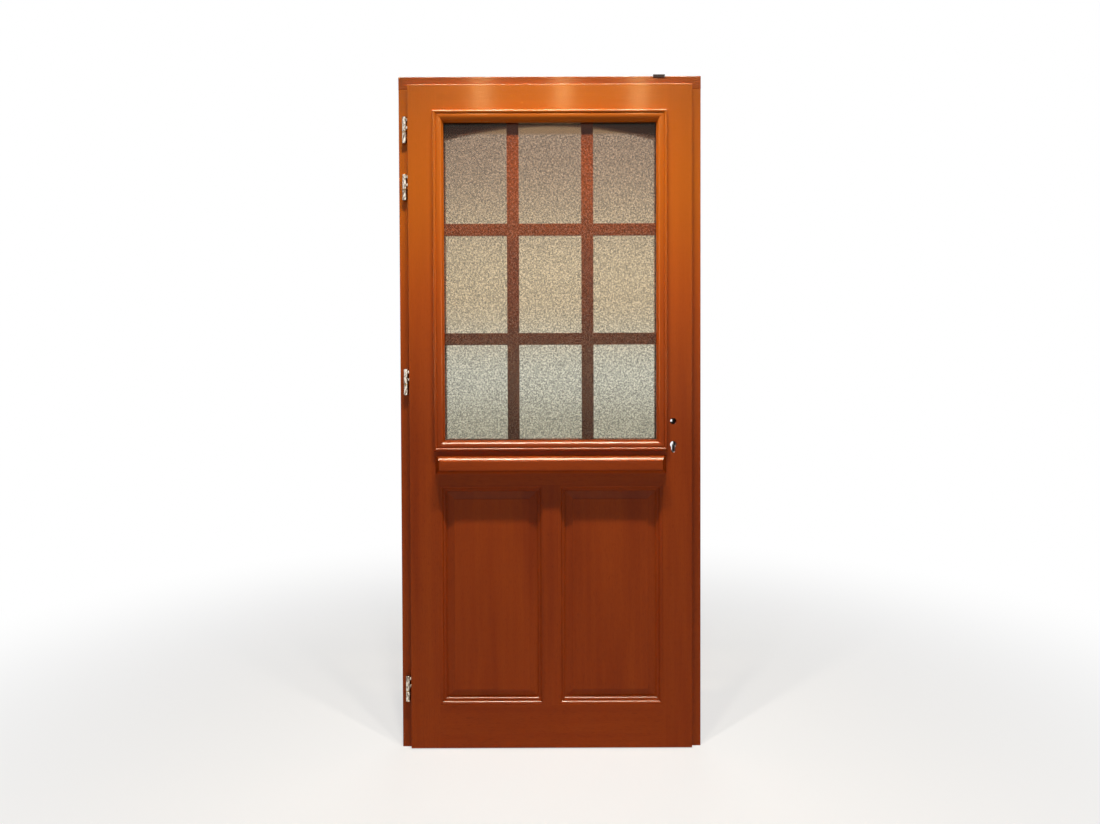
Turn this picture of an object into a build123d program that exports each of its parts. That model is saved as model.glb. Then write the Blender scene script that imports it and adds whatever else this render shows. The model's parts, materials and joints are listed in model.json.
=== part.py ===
from build123d import *
import os

# A timber entrance door, glazed above and panelled below, hung in its timber frame.
# Millimetres. X runs across the doorway, Y into the building and Z up. The origin is
# under the middle of the sill, half way through the frame's depth.

# Frame
frame_width = 940
frame_height = 2100
frame_depth = 68
jamb_width = 40
stop_projection = 15
stop_depth = 16
frame_arris = 2

# Leaf
leaf_thickness = 68
leaf_proud = 20
lip_thickness = 17
lip_overlap = 10
leaf_edge_gap = 4
leaf_floor_gap = 3
leaf_sill_gap = 7
leaf_arris = 2
stile_width = 91
top_rail_width = 95
lock_rail_width = 120
bottom_rail_width = 135
lock_rail_height = 830
mullion_width = 44

# Panels and their planted mouldings
panel_moulding_width = 22
panel_moulding_depth = 20
panel_moulding_fillet = 2.6
panel_moulding_quirk = 2
panel_moulding_ovolo = 7.5
panel_moulding_ovolo_fall = 8
panel_moulding_ovolo_rise = 1.8
panel_moulding_step = 1.5
panel_moulding_bead = 6.5
panel_moulding_bead_rise = 1.4
panel_moulding_edge = 3.2
panel_gap = 2
panel_bevel_width = 24
panel_bevel_rise = 6
panel_shoulder = 2

# Glazing mouldings, beads and the sealed unit
moulding_width = 32
moulding_overlap = 13
mitre_gap = 0.2
moulding_side = 7
astragal_width = 10
astragal_crest = 14
moulding_quirk = 2
moulding_quirk_floor = 8
ovolo_width = 18
ovolo_top = 10
ovolo_rise = 4
inner_fillet_step = 1
inner_fillet_drop = 3
bead_width = 20
bead_flat = 8
bead_cove_depth = 11
bead_cove_bulge = 3
glass_inset = 18
pane_thickness = 4
pane_space = 16
tape_thickness = 2
tape_width = 14
glass_edge_gap = 5
spacer_width = 11
spacer_inset = 1
bar_width = 37
bar_thickness = 10
bar_setback = 0.5
bar_pitch = 341
lower_bar_height = 316
arch_springing = 60
arch_crown = 16
block_length = 100

# Ledge under the glazing
ledge_gap = 16
ledge_end_inset = 3
ledge_end_bevel = 17
ledge_projection = 40
ledge_drop = 1
ledge_top_slope = 11
ledge_top_radius = 20
ledge_nose = 38
ledge_step = 6
ledge_fillet = 4
ledge_cove = 13
ledge_cove_rise = 3.25
ledge_foot = 10

# Threshold and seals
threshold_height = 18
threshold_front_height = 10
threshold_front_slope = 8
threshold_upstand = 34
threshold_wall = 2
seal_width = 4
seal_depth = 6
seal_place = 10
seal_clearance = 0.3
gasket_width = 3
gasket_depth = 5
gasket_bulb = 8

# Hinges, from the top down
top_hinge_drop = 98
second_hinge_drop = 274
third_hinge_drop = 878
bottom_hinge_rise = 146
hinge_axis_out = 10
hinge_axis_back = 9
hinge_diameter = 14
hinge_height = 81
leaf_knuckle_height = 47
hinge_washer_height = 1
hinge_play = 0.1
hinge_end_chamfer = 1.2
hinge_end_wall = 3
hinge_pin_diameter = 8
hinge_pin_chamfer = 1
hinge_pin_end_gap = 1.5
hinge_pin_clearance = 0.05
leaf_pin_diameter = 7
leaf_pin_drops = (9, 33)
leaf_pin_length = 45
frame_pin_diameter = 8
frame_pin_drop = 18
frame_pin_length = 36
fixing_pin_clearance = 0.05
hinge_collar_diameter = 10

# Lock
spindle_height = 1027
cylinder_drop = 72
backset = 45
lock_case_depth = 62
lock_case_thickness = 15
lock_case_above = 53
lock_case_below = 112
lock_case_wall = 1.5
lock_pocket_gap = 0.5
faceplate_length = 235
faceplate_width = 20
faceplate_thickness = 3
faceplate_above = 88
spindle_hole_diameter = 20
hub_diameter = 18
hub_clearance = 0.05
follower_diameter = 24
follower_thickness = 10
follower_nose = 3
spindle_square = 8.1
cylinder_round = 17
cylinder_slot = 10
cylinder_length = 33
cylinder_hole_margin = 1.5
cylinder_screw_hole = 5.2
latch_rise = 25
latch_height = 18
latch_thickness = 10
latch_length = 42
latch_tail_length = 20
latch_tail_height = 9
latch_throw = 12
latch_tip = 2
bolt_drop = 40
bolt_height = 34
bolt_thickness = 11
bolt_length = 39.5
bolt_recess = 0.5
bolt_window_gap = 0.3
strike_length = 190
strike_width = 24
strike_thickness = 2
strike_above = 88
strike_window_gap = 2
latch_pocket_depth = 18
bolt_pocket_depth = 26
screw_diameter = 4
screw_head_diameter = 8
screw_head_angle = 90
screw_length = 25
screw_clearance = 0.05
screw_inset = 10

# Fixing lug on the head
lug_from_end = 130
lug_width = 36
lug_depth = 40
lug_thickness = 4
lug_lip = 3
lug_fold = 5
lug_hole = 6.5

# Places worked out from the sizes
frame_x = frame_width / 2
rebate_x = frame_x - jamb_width
stop_x = rebate_x - stop_projection
rebate_z = frame_height - jamb_width
stop_z = rebate_z - stop_projection
frame_front = -frame_depth / 2
frame_back = frame_depth / 2
stop_face = frame_back - stop_depth

leaf_front = frame_front - leaf_proud
leaf_back = leaf_front + leaf_thickness
leaf_middle = (leaf_front + leaf_back) / 2
lip_back = leaf_front + lip_thickness
lip_x = rebate_x + lip_overlap
body_x = rebate_x - leaf_edge_gap
lip_top = rebate_z + lip_overlap
body_top = rebate_z - leaf_edge_gap
lip_bottom = leaf_floor_gap
body_bottom = threshold_height + leaf_sill_gap

opening_x = lip_x - stile_width
glazing_top = lip_top - top_rail_width
glazing_bottom = lock_rail_height + lock_rail_width
panel_top = lock_rail_height
panel_bottom = lip_bottom + bottom_rail_width
mullion_x = mullion_width / 2

glass_front = leaf_front + glass_inset
inner_front = glass_front + pane_thickness
inner_back = inner_front + pane_space
glass_back = inner_back + pane_thickness
bead_front = glass_back + tape_thickness
sight_bottom = glazing_bottom + moulding_width - moulding_overlap
glass_x = opening_x - glass_edge_gap
glass_low = glazing_bottom + glass_edge_gap
glass_high = glazing_top - glass_edge_gap

panel_front = leaf_front + panel_moulding_depth
panel_back = leaf_back - panel_moulding_depth

hinge_tops = (
    lip_top - top_hinge_drop,
    lip_top - second_hinge_drop,
    lip_top - third_hinge_drop,
    lip_bottom + bottom_hinge_rise + hinge_height,
)
hinge_x = -lip_x - hinge_axis_out
hinge_y = leaf_front + hinge_axis_back

spindle_x = body_x - backset
cylinder_height = spindle_height - cylinder_drop
lock_y = (lip_back + leaf_back) / 2
faceplate_back = body_x - faceplate_thickness
case_front = lock_y - lock_case_thickness / 2
case_back = lock_y + lock_case_thickness / 2
case_inner = faceplate_back - lock_case_depth
case_low = spindle_height - lock_case_below
case_high = spindle_height + lock_case_above
faceplate_middle = spindle_height + faceplate_above - faceplate_length / 2
latch_z = spindle_height + latch_rise
bolt_z = spindle_height - bolt_drop
strike_middle = spindle_height + strike_above - strike_length / 2
screw_places = (
    faceplate_middle - faceplate_length / 2 + screw_inset,
    faceplate_middle + faceplate_length / 2 - screw_inset,
)
strike_screw_places = (
    strike_middle - strike_length / 2 + screw_inset,
    strike_middle + strike_length / 2 - screw_inset,
)

X = Vector(1, 0, 0)
Y = Vector(0, 1, 0)
Z = Vector(0, 0, 1)

os.makedirs("parts", exist_ok=True)


def save(piece, name):
    piece.part.label = name
    export_step(piece.part, f"parts/{name}.step")


def block(low, high):
    """A plain rectangular solid between two opposite corners."""
    size = [b - a for a, b in zip(low, high)]
    middle = [(a + b) / 2 for a, b in zip(low, high)]
    with BuildPart() as piece:
        with Locations(tuple(middle)):
            Box(*size)
    return piece


def mitred_bar(outline, start, inward, along, length, first=True, last=True):
    """One side of a mitred surround. The section lies across the start of the bar, with its
    first axis inward from the outer edge and its second away from the leaf."""
    section = Plane(origin=start, x_dir=inward, z_dir=along)
    step = along * (mitre_gap / 2)
    with BuildPart() as bar:
        with BuildSketch(section):
            with BuildLine():
                outline()
            make_face()
        extrude(amount=length)
        if first:
            split(bisect_by=Plane(origin=start + step, z_dir=along - inward), keep=Keep.TOP)
        if last:
            end = start + along * length - step
            split(bisect_by=Plane(origin=end, z_dir=along * -1 - inward), keep=Keep.TOP)
    return bar


def front_surround(outline, half_width, centre_x, low, high, face):
    """The four mitred bars round an opening, on the photograph's side: bottom, right, top, left."""
    left = Vector(centre_x - half_width, face, 0)
    right = Vector(centre_x + half_width, face, 0)
    width = 2 * half_width
    height = high - low
    return (
        mitred_bar(outline, left + Z * low, Z, X, width),
        mitred_bar(outline, right + Z * low, X * -1, Z, height),
        mitred_bar(outline, right + Z * high, Z * -1, X * -1, width),
        mitred_bar(outline, left + Z * high, X, Z * -1, height),
    )


def rectangular_ring(half_width, low, high, width, front, back):
    """A flat ring round the glazing, between two depths."""
    with BuildPart() as ring:
        with BuildSketch(Plane.XZ.offset(-front)):
            with Locations((0, (low + high) / 2)):
                Rectangle(2 * half_width, high - low)
                Rectangle(2 * (half_width - width), high - low - 2 * width, mode=Mode.SUBTRACT)
        extrude(amount=front - back)
    return ring


# Timber frame

def head_section():
    Polyline(
        (frame_front, rebate_z),
        (stop_face, rebate_z),
        (stop_face, stop_z),
        (frame_back, stop_z),
        (frame_back, frame_height),
        (frame_front, frame_height),
        close=True,
    )


gasket_groove_z = rebate_z - stop_projection / 2
gasket_groove_x = rebate_x - stop_projection / 2

with BuildPart() as frame_head:
    with BuildSketch(Plane.YZ.offset(-frame_x)):
        with BuildLine():
            head_section()
        make_face()
    extrude(amount=frame_width)
    front_edges = frame_head.edges().filter_by(Axis.X).group_by(Axis.Y)[0]
    fillet(front_edges, radius=frame_arris)
    with BuildSketch(Plane.YZ.offset(-gasket_groove_x - gasket_width / 2)):
        with Locations((stop_face + gasket_depth / 2, gasket_groove_z)):
            Rectangle(gasket_depth, gasket_width)
    extrude(amount=2 * gasket_groove_x + gasket_width, mode=Mode.SUBTRACT)
    with BuildSketch(Plane.XY.offset(stop_z)):
        with Locations(
            [(side * gasket_groove_x, stop_face + gasket_depth / 2) for side in (-1, 1)]
        ):
            Rectangle(gasket_width, gasket_depth)
    extrude(amount=gasket_groove_z - stop_z, mode=Mode.SUBTRACT)
save(frame_head, "frame_head")


def plain_jamb(side):
    """A jamb up to the underside of the head, with its stop and the groove for the gasket."""
    with BuildPart() as jamb:
        with BuildSketch(Plane.XY):
            with BuildLine():
                Polyline(
                    (side * frame_x, frame_front),
                    (side * rebate_x, frame_front),
                    (side * rebate_x, stop_face),
                    (side * stop_x, stop_face),
                    (side * stop_x, frame_back),
                    (side * frame_x, frame_back),
                    close=True,
                )
            make_face()
        extrude(amount=rebate_z)
        arrises = jamb.edges().filter_by(Axis.Z).group_by(Axis.Y)[0]
        fillet(arrises, radius=frame_arris)
        with BuildSketch(Plane.XY.offset(stop_z)):
            with Locations((side * (frame_x + stop_x) / 2, (stop_face + frame_back) / 2)):
                Rectangle(frame_x - stop_x, stop_depth)
        extrude(amount=stop_projection, mode=Mode.SUBTRACT)
        with BuildSketch(Plane.XY):
            with Locations((side * gasket_groove_x, stop_face + gasket_depth / 2)):
                Rectangle(gasket_width, gasket_depth)
        extrude(amount=rebate_z, mode=Mode.SUBTRACT)
    return jamb


frame_pin_plane = Plane(origin=(hinge_x, frame_front, 0), x_dir=X, z_dir=Y)
frame_pin_heights = [top - hinge_height + frame_pin_drop for top in hinge_tops]

with BuildPart() as frame_jamb_hinge_side:
    add(plain_jamb(-1).part)
    with BuildSketch(frame_pin_plane):
        with Locations([(0, -height) for height in frame_pin_heights]):
            Circle(frame_pin_diameter / 2 + fixing_pin_clearance)
    extrude(amount=frame_pin_length, mode=Mode.SUBTRACT)
save(frame_jamb_hinge_side, "frame_jamb_hinge_side")

strike_plane = Plane(origin=(rebate_x, lock_y, 0), x_dir=Y, z_dir=X)

with BuildPart() as frame_jamb_lock_side:
    add(plain_jamb(1).part)
    with BuildSketch(strike_plane):
        with Locations((0, strike_middle)):
            SlotOverall(strike_length, strike_width, rotation=90)
    extrude(amount=strike_thickness, mode=Mode.SUBTRACT)
    with BuildSketch(strike_plane):
        with Locations((0, latch_z)):
            Rectangle(latch_thickness + 2 * strike_window_gap, latch_height + 2 * strike_window_gap)
    extrude(amount=latch_pocket_depth, mode=Mode.SUBTRACT)
    with BuildSketch(strike_plane):
        with Locations((0, bolt_z)):
            Rectangle(bolt_thickness + 2 * strike_window_gap, bolt_height + 2 * strike_window_gap)
    extrude(amount=bolt_pocket_depth, mode=Mode.SUBTRACT)
    with BuildSketch(strike_plane):
        with Locations([(0, height) for height in strike_screw_places]):
            Circle(screw_diameter / 2 + screw_clearance)
    extrude(amount=screw_length, mode=Mode.SUBTRACT)
save(frame_jamb_lock_side, "frame_jamb_lock_side")

with BuildPart() as strike_plate:
    with BuildSketch(strike_plane):
        with Locations((0, strike_middle)):
            SlotOverall(strike_length, strike_width, rotation=90)
        with Locations((0, latch_z)):
            Rectangle(
                latch_thickness + 2 * strike_window_gap,
                latch_height + 2 * strike_window_gap,
                mode=Mode.SUBTRACT,
            )
        with Locations((0, bolt_z)):
            Rectangle(
                bolt_thickness + 2 * strike_window_gap,
                bolt_height + 2 * strike_window_gap,
                mode=Mode.SUBTRACT,
            )
    extrude(amount=strike_thickness)
    with Locations(
        [Plane(origin=(rebate_x, lock_y, height), z_dir=X * -1) for height in strike_screw_places]
    ):
        CounterSinkHole(
            radius=screw_diameter / 2 + screw_clearance,
            counter_sink_radius=screw_head_diameter / 2 + screw_clearance,
            depth=strike_thickness,
            counter_sink_angle=screw_head_angle,
        )
save(strike_plate, "strike_plate")


def countersunk_screws(face_x, heights, towards, carrier_thickness):
    """Countersunk wood screws with flush heads, driven along X."""
    head_radius = screw_head_diameter / 2
    shank_radius = screw_diameter / 2
    head_height = min(head_radius - shank_radius, carrier_thickness)
    with BuildPart() as screws:
        for height in heights:
            with BuildSketch(Plane(origin=(face_x, lock_y, height), x_dir=Z, z_dir=Y)):
                with BuildLine():
                    Polyline(
                        (0, 0),
                        (head_radius, 0),
                        (shank_radius, towards * head_height),
                        (shank_radius, towards * (screw_length - head_height)),
                        (0, towards * (screw_length - screw_clearance)),
                        close=True,
                    )
                make_face()
            revolve(axis=Axis((face_x, lock_y, height), (1, 0, 0)))
    return screws


strike_screws = countersunk_screws(rebate_x, strike_screw_places, 1, strike_thickness)
save(strike_screws, "strike_screws")


def gasket_section():
    """A stem in the groove and a bulb that stands off the stop towards the leaf."""
    stem = gasket_width / 2
    bulb = gasket_bulb / 2
    reach = stop_face - leaf_back - seal_clearance
    Polyline(
        (-bulb, 0),
        (-stem, 0),
        (-stem, gasket_depth),
        (stem, gasket_depth),
        (stem, 0),
        (bulb, 0),
    )
    ThreePointArc((bulb, 0), (0, -reach), (-bulb, 0))


with BuildPart() as frame_gasket:
    for side in (-1, 1):
        with BuildSketch(
            Plane(origin=(side * gasket_groove_x, stop_face, threshold_upstand), x_dir=X, z_dir=Z)
        ):
            with BuildLine():
                gasket_section()
            make_face()
        extrude(amount=gasket_groove_z - gasket_bulb / 2 - threshold_upstand)
    with BuildSketch(
        Plane(origin=(-gasket_groove_x, stop_face, gasket_groove_z), x_dir=Z * -1, z_dir=X)
    ):
        with BuildLine():
            gasket_section()
        make_face()
    extrude(amount=2 * gasket_groove_x)
save(frame_gasket, "frame_gasket")

threshold_reach = (stop_face, threshold_height)

with BuildPart() as threshold:
    with BuildSketch(Plane.YZ.offset(-rebate_x)):
        with BuildLine():
            Polyline(
                (frame_front, 0),
                (frame_front, threshold_front_height),
                (frame_front + threshold_front_slope, threshold_height - threshold_wall),
                threshold_reach,
                (stop_face, threshold_upstand),
                (frame_back, threshold_upstand),
                (frame_back, 0),
                close=True,
            )
        make_face()
        with BuildLine():
            Polyline(
                (frame_front + threshold_wall, threshold_wall),
                (frame_front + threshold_wall, threshold_front_height - threshold_wall),
                (
                    frame_front + threshold_front_slope + threshold_wall,
                    threshold_height - 2.5 * threshold_wall,
                ),
                (-threshold_wall, threshold_height - 2 * threshold_wall),
                (-threshold_wall, threshold_wall),
                close=True,
            )
        make_face(mode=Mode.SUBTRACT)
        with BuildLine():
            Polyline(
                (0, threshold_wall),
                (0, threshold_height - 2 * threshold_wall),
                (stop_face + threshold_wall, threshold_height - threshold_wall),
                (stop_face + threshold_wall, threshold_upstand - threshold_wall),
                (frame_back - threshold_wall, threshold_upstand - threshold_wall),
                (frame_back - threshold_wall, threshold_wall),
                close=True,
            )
        make_face(mode=Mode.SUBTRACT)
    extrude(amount=2 * rebate_x)
    for side in (-1, 1):
        with BuildSketch(Plane.XY):
            with Locations((side * (rebate_x + stop_x) / 2, (stop_face + frame_back) / 2)):
                Rectangle(stop_projection, stop_depth)
        extrude(amount=threshold_upstand, mode=Mode.SUBTRACT)
save(threshold, "threshold")

lug_middle = frame_x - lug_from_end
lug_left = lug_middle - lug_width / 2
lug_right = lug_middle + lug_width / 2

with BuildPart() as head_fixing_lug:
    add(
        block(
            (lug_left, frame_front - lug_lip, frame_height),
            (lug_right, frame_front + lug_depth, frame_height + lug_thickness),
        )
    )
    add(
        block(
            (lug_left, frame_front - lug_lip, frame_height - lug_fold),
            (lug_right, frame_front, frame_height),
        )
    )
    with BuildSketch(Plane.XY.offset(frame_height)):
        with Locations((lug_middle, frame_front + lug_depth / 2)):
            Circle(lug_hole / 2)
    extrude(amount=lug_thickness, mode=Mode.SUBTRACT)
save(head_fixing_lug, "head_fixing_lug")


# Leaf: two stiles, three rails and a mullion

def plain_stile(side):
    """A stile with its lip in front and its thicker body behind, and the seal groove below."""
    with BuildPart() as stile:
        with BuildSketch(Plane.XY.offset(lip_bottom)):
            with Locations((side * (lip_x + opening_x) / 2, (leaf_front + lip_back) / 2)):
                Rectangle(lip_x - opening_x, lip_thickness)
        extrude(amount=lip_top - lip_bottom)
        outer = stile.edges().filter_by(Axis.Z).group_by(Axis.Y)[0].sort_by(Axis.X)
        ends = stile.edges().filter_by(Axis.X).group_by(Axis.Y)[0]
        fillet([outer[0 if side < 0 else -1], *ends], radius=leaf_arris)
        with BuildSketch(Plane.XY.offset(body_bottom)):
            with Locations((side * (body_x + opening_x) / 2, (lip_back + leaf_back) / 2)):
                Rectangle(body_x - opening_x, leaf_back - lip_back)
        extrude(amount=body_top - body_bottom)
        with BuildSketch(Plane.XY.offset(body_bottom)):
            with Locations((side * (body_x + opening_x) / 2, leaf_back - seal_place)):
                Rectangle(body_x - opening_x, seal_width)
        extrude(amount=seal_depth, mode=Mode.SUBTRACT)
    return stile


leaf_pin_heights = [top - drop for top in hinge_tops for drop in leaf_pin_drops]

with BuildPart() as stile_hinge_side:
    add(plain_stile(-1).part)
    with BuildSketch(Plane(origin=(-lip_x, hinge_y, 0), x_dir=Y, z_dir=X)):
        with Locations([(0, height) for height in leaf_pin_heights]):
            Circle(leaf_pin_diameter / 2 + fixing_pin_clearance)
    extrude(amount=leaf_pin_length, mode=Mode.SUBTRACT)
save(stile_hinge_side, "stile_hinge_side")


def cylinder_outline(margin):
    """The keyhole outline of a profile cylinder: a round with a slot below it."""
    radius = cylinder_round / 2 + margin
    slot_radius = cylinder_slot / 2 + margin
    low = -(cylinder_length - cylinder_round / 2) + cylinder_slot / 2
    Circle(radius)
    with Locations((0, low / 2)):
        Rectangle(2 * slot_radius, -low)
    with Locations((0, low)):
        Circle(slot_radius)


front_plane = Plane(origin=(spindle_x, leaf_front, 0), x_dir=X, z_dir=Y * -1)
edge_plane = Plane(origin=(body_x, lock_y, 0), x_dir=Y, z_dir=X)
case_plane = Plane(origin=(spindle_x, case_front, 0), x_dir=X, z_dir=Y * -1)

with BuildPart() as stile_lock_side:
    add(plain_stile(1).part)
    with BuildSketch(edge_plane):
        with Locations((0, faceplate_middle)):
            SlotOverall(faceplate_length, faceplate_width, rotation=90)
    extrude(amount=-faceplate_thickness, mode=Mode.SUBTRACT)
    with BuildSketch(edge_plane):
        with Locations((0, (case_low + case_high) / 2)):
            Rectangle(
                lock_case_thickness + 2 * lock_pocket_gap,
                case_high - case_low + 2 * lock_pocket_gap,
            )
    extrude(amount=case_inner - lock_pocket_gap - body_x, mode=Mode.SUBTRACT)
    with BuildSketch(edge_plane):
        with Locations([(0, height) for height in screw_places]):
            Circle(screw_diameter / 2 + screw_clearance)
    extrude(amount=-screw_length, mode=Mode.SUBTRACT)
    with BuildSketch(front_plane):
        with Locations((0, spindle_height)):
            Circle(spindle_hole_diameter / 2)
    extrude(amount=-leaf_thickness, mode=Mode.SUBTRACT)
    with BuildSketch(front_plane):
        with Locations((0, cylinder_height)):
            cylinder_outline(cylinder_hole_margin)
    extrude(amount=-leaf_thickness, mode=Mode.SUBTRACT)
save(stile_lock_side, "stile_lock_side")


def lipped_rail(low, high, lip_low, lip_high):
    """A rail between the stiles whose front layer runs on to the lip's edge."""
    with BuildPart() as rail:
        add(block((-opening_x, leaf_front, lip_low), (opening_x, lip_back, lip_high)).part)
        add(block((-opening_x, lip_back, low), (opening_x, leaf_back, high)).part)
    return rail


with BuildPart() as top_rail:
    add(lipped_rail(glazing_top, body_top, glazing_top, lip_top).part)
    front_edges = top_rail.edges().filter_by(Axis.X).group_by(Axis.Y)[0]
    fillet(front_edges.sort_by(Axis.Z)[-1], radius=leaf_arris)
save(top_rail, "top_rail")

lock_rail = block((-opening_x, leaf_front, panel_top), (opening_x, leaf_back, glazing_bottom))
save(lock_rail, "lock_rail")

with BuildPart() as bottom_rail:
    add(lipped_rail(body_bottom, panel_bottom, lip_bottom, panel_bottom).part)
    front_edges = bottom_rail.edges().filter_by(Axis.X).group_by(Axis.Y)[0]
    fillet(front_edges.sort_by(Axis.Z)[0], radius=leaf_arris)
    with BuildSketch(Plane.XY.offset(body_bottom)):
        with Locations((0, leaf_back - seal_place)):
            Rectangle(2 * opening_x, seal_width)
    extrude(amount=seal_depth, mode=Mode.SUBTRACT)
save(bottom_rail, "bottom_rail")

panel_mullion = block((-mullion_x, leaf_front, panel_bottom), (mullion_x, leaf_back, panel_top))
save(panel_mullion, "panel_mullion")

with BuildPart() as bottom_seal:
    with BuildSketch(Plane.YZ.offset(-body_x)):
        with BuildLine():
            Polyline(
                (leaf_back - seal_place - seal_width / 2, body_bottom + seal_depth),
                (leaf_back - seal_place - seal_width / 2, body_bottom),
                (leaf_back - seal_place - 0.5, threshold_height + seal_clearance),
                (leaf_back - seal_place + 0.5, threshold_height + seal_clearance),
                (leaf_back - seal_place + seal_width / 2, body_bottom),
                (leaf_back - seal_place + seal_width / 2, body_bottom + seal_depth),
                close=True,
            )
        make_face()
    extrude(amount=2 * body_x)
save(bottom_seal, "bottom_seal")


# Raised panels, held between planted mouldings on both sides

def panel_moulding_outline():
    """A small fillet, a quirk, an ovolo and a bead that falls to the panel."""
    depth = panel_moulding_depth
    low = depth - panel_moulding_quirk
    start = (panel_moulding_fillet + panel_moulding_quirk, low)
    waist = (start[0] + panel_moulding_ovolo, low - panel_moulding_ovolo_fall)
    second_low = waist[1] - panel_moulding_step
    second = (waist[0] + panel_moulding_step, second_low)
    end = (second[0] + panel_moulding_bead, panel_moulding_edge)
    Polyline(
        (panel_moulding_width, panel_moulding_edge),
        (panel_moulding_width, 0),
        (0, 0),
        (0, depth),
        (panel_moulding_fillet, depth),
        (panel_moulding_fillet, low),
        start,
    )
    SagittaArc(start, waist, panel_moulding_ovolo_rise)
    Polyline(waist, (waist[0], second_low), second)
    SagittaArc(second, end, panel_moulding_bead_rise)
    Line(end, (panel_moulding_width, panel_moulding_edge))


panel_inner_x = mullion_x
panel_middle_x = (opening_x + panel_inner_x) / 2
panel_half = (opening_x - panel_inner_x) / 2
panel_middle_z = (panel_bottom + panel_top) / 2
panel_half_z = (panel_top - panel_bottom) / 2


def raised_panel(side):
    """A panel with a bevelled and shouldered field on both faces."""
    sight = panel_half - panel_moulding_width
    sight_z = panel_half_z - panel_moulding_width
    field = sight - panel_bevel_width
    field_z = sight_z - panel_bevel_width
    centre = (side * panel_middle_x, panel_middle_z)
    with BuildPart() as panel:
        with BuildSketch(Plane.XZ.offset(-panel_back)):
            with Locations(centre):
                Rectangle(2 * (panel_half - panel_gap), 2 * (panel_half_z - panel_gap))
        extrude(amount=panel_back - panel_front)
        for face, out in ((panel_front, 1), (panel_back, -1)):
            with BuildSketch(Plane.XZ.offset(-face)):
                with Locations(centre):
                    Rectangle(2 * sight, 2 * sight_z)
            with BuildSketch(Plane.XZ.offset(-face + out * panel_bevel_rise)):
                with Locations(centre):
                    Rectangle(2 * field, 2 * field_z)
            loft()
            with BuildSketch(Plane.XZ.offset(-face + out * panel_bevel_rise)):
                with Locations(centre):
                    Rectangle(2 * field, 2 * field_z)
            extrude(amount=out * panel_shoulder)
    return panel


def panel_surround(side):
    """The mitred moulding round one panel, on the photograph's side."""
    bars = front_surround(
        panel_moulding_outline,
        panel_half,
        side * panel_middle_x,
        panel_bottom,
        panel_top,
        panel_front,
    )
    with BuildPart() as surround:
        for bar in bars:
            add(bar.part)
    return surround


for side, name in ((-1, "left"), (1, "right")):
    panel = raised_panel(side)
    save(panel, f"panel_{name}")
    front_moulding = panel_surround(side)
    save(front_moulding, f"panel_{name}_front_moulding")
    with BuildPart() as back_moulding:
        add(front_moulding.part)
        mirror(about=Plane.XZ.offset(-leaf_middle), mode=Mode.REPLACE)
    save(back_moulding, f"panel_{name}_back_moulding")


# Moulded ledge between the glazing and the panels

ledge_top = glazing_bottom - moulding_overlap - ledge_gap
ledge_front = leaf_front - ledge_projection
ledge_half = opening_x + moulding_overlap - ledge_end_inset

with BuildPart() as ledge_moulding:
    with BuildSketch(Plane.YZ.offset(-ledge_half)):
        front_top = ledge_top - ledge_drop
        nose_low = front_top - ledge_nose
        cove_top = nose_low - ledge_fillet
        foot = cove_top - ledge_cove
        shoulder = ledge_front + ledge_step
        with BuildLine():
            Polyline(
                (leaf_front - ledge_foot, foot),
                (leaf_front, foot),
                (leaf_front, ledge_top),
                (ledge_front + ledge_top_slope, front_top),
            )
            RadiusArc(
                (ledge_front + ledge_top_slope, front_top),
                (ledge_front, front_top - ledge_top_slope),
                ledge_top_radius,
            )
            Polyline(
                (ledge_front, front_top - ledge_top_slope),
                (ledge_front, nose_low),
                (shoulder, nose_low),
                (shoulder, cove_top),
            )
            SagittaArc(
                (shoulder, cove_top),
                (leaf_front - ledge_foot, foot),
                ledge_cove_rise,
            )
        make_face()
    extrude(amount=2 * ledge_half)
    for side in (-1, 1):
        with BuildSketch(Plane.XY.offset(foot)):
            with BuildLine():
                Polyline(
                    (side * ledge_half, leaf_front),
                    (side * ledge_half, ledge_front),
                    (side * (ledge_half - ledge_end_bevel), ledge_front),
                    close=True,
                )
            make_face()
        extrude(amount=ledge_top - foot, mode=Mode.SUBTRACT)
save(ledge_moulding, "ledge_moulding")


# Glazing: proud front mouldings, the sealed unit, its tapes and blocks, and the rear beads

leg_depth = glass_inset - tape_thickness


def glazing_moulding_outline():
    """An astragal at the outer edge, a quirk and an ovolo that falls to the glass."""
    quirk_end = astragal_width + moulding_quirk
    ovolo_end = quirk_end + ovolo_width
    Polyline((moulding_overlap, 0), (0, 0), (0, moulding_side))
    ThreePointArc(
        (0, moulding_side),
        (astragal_width / 2, astragal_crest),
        (astragal_width, moulding_quirk_floor),
    )
    Polyline(
        (astragal_width, moulding_quirk_floor),
        (quirk_end, moulding_quirk_floor),
        (quirk_end, ovolo_top),
    )
    SagittaArc((quirk_end, ovolo_top), (ovolo_end, -inner_fillet_step), ovolo_rise)
    Polyline(
        (ovolo_end, -inner_fillet_step),
        (ovolo_end, -inner_fillet_drop),
        (moulding_width, -inner_fillet_drop),
        (moulding_width, -leg_depth),
        (moulding_overlap, -leg_depth),
        (moulding_overlap, 0),
    )


glazing_mouldings = front_surround(
    glazing_moulding_outline,
    opening_x + moulding_overlap,
    0,
    glazing_bottom - moulding_overlap,
    glazing_top + moulding_overlap,
    leaf_front,
)
for bar, name in zip(glazing_mouldings, ("bottom", "right", "top", "left")):
    save(bar, f"glazing_moulding_{name}")

front_pane = block((-glass_x, glass_front, glass_low), (glass_x, inner_front, glass_high))
save(front_pane, "front_pane")

rear_pane = block((-glass_x, inner_back, glass_low), (glass_x, glass_back, glass_high))
save(rear_pane, "rear_pane")

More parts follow.
